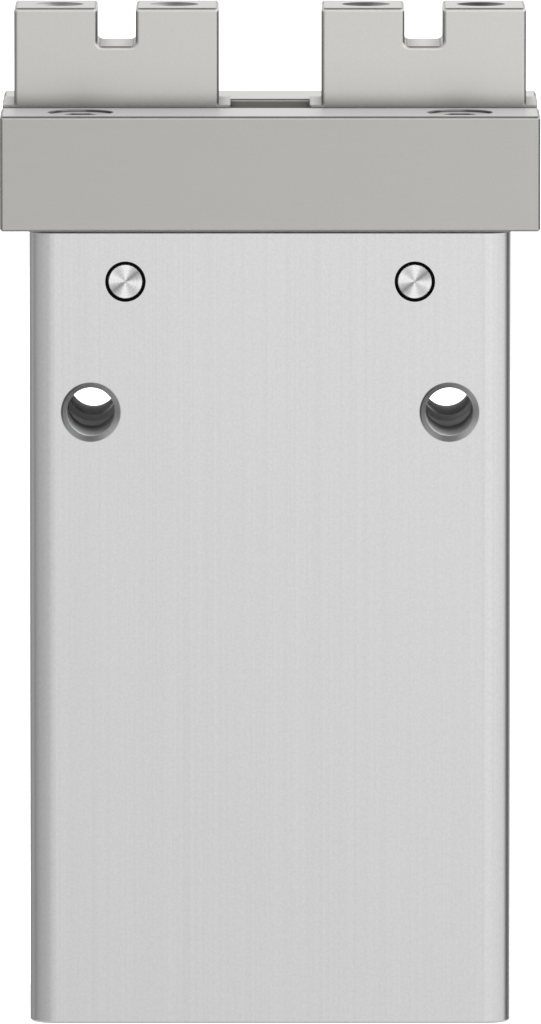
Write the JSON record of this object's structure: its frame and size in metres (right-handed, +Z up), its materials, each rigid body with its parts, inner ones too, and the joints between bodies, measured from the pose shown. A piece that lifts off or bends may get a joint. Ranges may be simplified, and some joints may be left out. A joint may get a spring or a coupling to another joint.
{
  "type": "parallel gripper",
  "caption": "Small pneumatic parallel gripper: tall rounded housing, steel roller guide across the top and flat notched jaws that a piston moves through bell cranks.",
  "frame": {"origin": "centre of the foot face", "axes": "+X right along the jaws' travel, +Y from the front to the back, +Z up from the foot to the jaw tips"},
  "size_m": [0.028, 0.016, 0.0526],
  "materials": {
    "housing_aluminium": "extruded, satin anodised",
    "cap_aluminium": "turned",
    "rail_steel": "fine ground",
    "jaw_steel": "fine ground",
    "screw_steel": "bright zinc",
    "pin_steel": "turned",
    "lever_steel": "hardened",
    "spring_steel": "dark oiled",
    "roller_steel": "polished",
    "seal_rubber": "matt",
    "bumper_rubber": "matt",
    "magnet": "matt",
    "retainer_brass": "turned"
  },
  "bodies": {
    "housing": {"housing": "housing_aluminium", "guide_rail": "rail_steel", "rail_screws": "screw_steel", "dowel_pins": "pin_steel", "roller_stops": "pin_steel", "right_lever_pin": "pin_steel", "left_lever_pin": "pin_steel", "pin_seals": "seal_rubber", "rod_seal": "seal_rubber", "seal_retainer": "retainer_brass", "upper_bumper": "bumper_rubber", "lower_bumper": "bumper_rubber", "end_cap": "cap_aluminium", "cap_seal": "seal_rubber", "snap_ring": "spring_steel"},
    "piston": {"piston_rod": "pin_steel", "piston": "cap_aluminium", "piston_seal": "seal_rubber", "magnet_ring": "magnet"},
    "right_jaw": {"right_jaw": "jaw_steel"},
    "left_jaw": {"left_jaw": "jaw_steel"},
    "right_rollers": {"right_rollers": "roller_steel"},
    "left_rollers": {"left_rollers": "roller_steel"},
    "right_lever": {"right_lever": "lever_steel"},
    "left_lever": {"left_lever": "lever_steel"}
  },
  "joints": [
    {"name": "piston_slide", "type": "slide", "parent": "housing", "child": "piston", "axis": [0, 0, -1], "range_m": [0, 0.00212]},
    {"name": "right_jaw_slide", "type": "slide", "parent": "housing", "child": "right_jaw", "axis": [-1, 0, 0], "range_m": [0, 0.002]},
    {"name": "left_jaw_slide", "type": "slide", "parent": "housing", "child": "left_jaw", "axis": [1, 0, 0], "range_m": [0, 0.002]},
    {"name": "right_roller_roll", "type": "slide", "parent": "housing", "child": "right_rollers", "axis": [-1, 0, 0], "range_m": [0, 0.001]},
    {"name": "left_roller_roll", "type": "slide", "parent": "housing", "child": "left_rollers", "axis": [1, 0, 0], "range_m": [0, 0.001]},
    {"name": "right_lever_swing", "type": "hinge", "parent": "housing", "child": "right_lever", "pos_m": [0.0075, 0, 0.0388], "axis": [0, -1, 0], "range_deg": [0, 22.18]},
    {"name": "left_lever_swing", "type": "hinge", "parent": "housing", "child": "left_lever", "pos_m": [-0.0075, 0, 0.0388], "axis": [0, 1, 0], "range_deg": [0, 22.18]}
  ],
  "couplings": [
    {"joint": "right_jaw_slide", "follows": "piston_slide", "ratio": 0.94545},
    {"joint": "left_jaw_slide", "follows": "piston_slide", "ratio": 0.94545},
    {"joint": "right_roller_roll", "follows": "piston_slide", "ratio": 0.47273},
    {"joint": "left_roller_roll", "follows": "piston_slide", "ratio": 0.47273},
    {"joint": "right_lever_swing", "follows": "piston_slide", "rad_per_m": 182.96},
    {"joint": "left_lever_swing", "follows": "piston_slide", "rad_per_m": 182.96}
  ]
}
